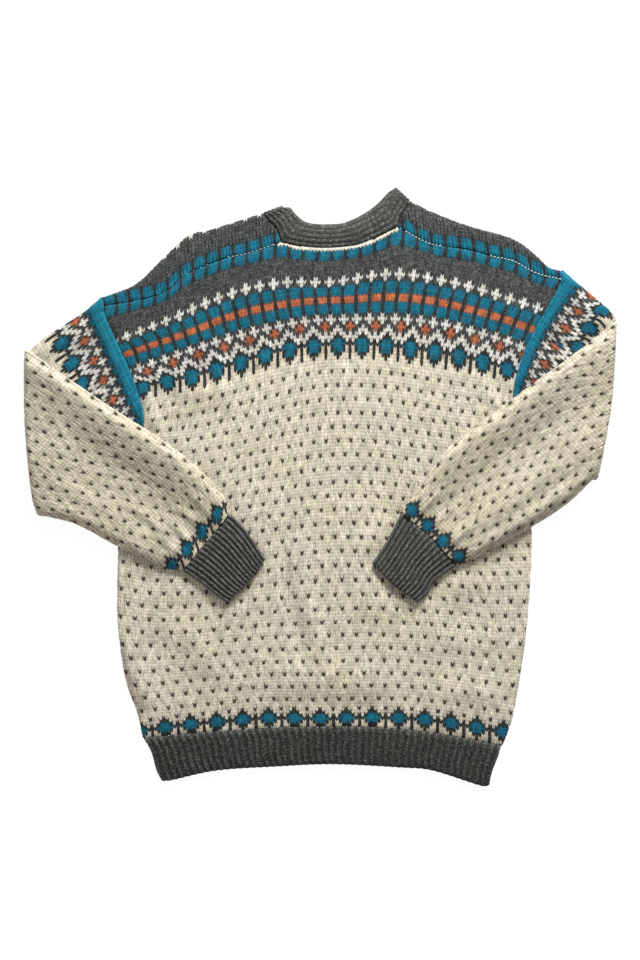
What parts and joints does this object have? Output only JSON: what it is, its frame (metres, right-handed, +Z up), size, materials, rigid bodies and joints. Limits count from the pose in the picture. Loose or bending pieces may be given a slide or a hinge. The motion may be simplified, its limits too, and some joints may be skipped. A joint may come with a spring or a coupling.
{
  "type": "nordic yoke sweater, laid flat with folded sleeves",
  "caption": "Hand-knitted wool yoke sweater laid flat, back up, both sleeves folded over onto the back; ribbed hem and cuffs, ridged neckband, patterned yoke.",
  "frame": {"origin": "middle of the sweater's outline on the surface that it lies on", "axes": "+Z up from the surface, +Y from the hem to the neck, +X towards the wearer's right, because the back is up"},
  "size_m": [0.743, 0.7496, 0.0151],
  "materials": {
    "cream_wool": "stranded knit in cream wool with teal, orange, white and charcoal motifs, soft and matt",
    "charcoal_wool": "ribbed knit in heather charcoal wool, soft and matt"
  },
  "bodies": {
    "root": {"front": "cream_wool", "back": "cream_wool", "sleeve_left": "cream_wool", "sleeve_right": "cream_wool", "hem_rib": "charcoal_wool", "cuff_left": "charcoal_wool", "cuff_right": "charcoal_wool", "neckband": "charcoal_wool"}
  },
  "joints": []
}
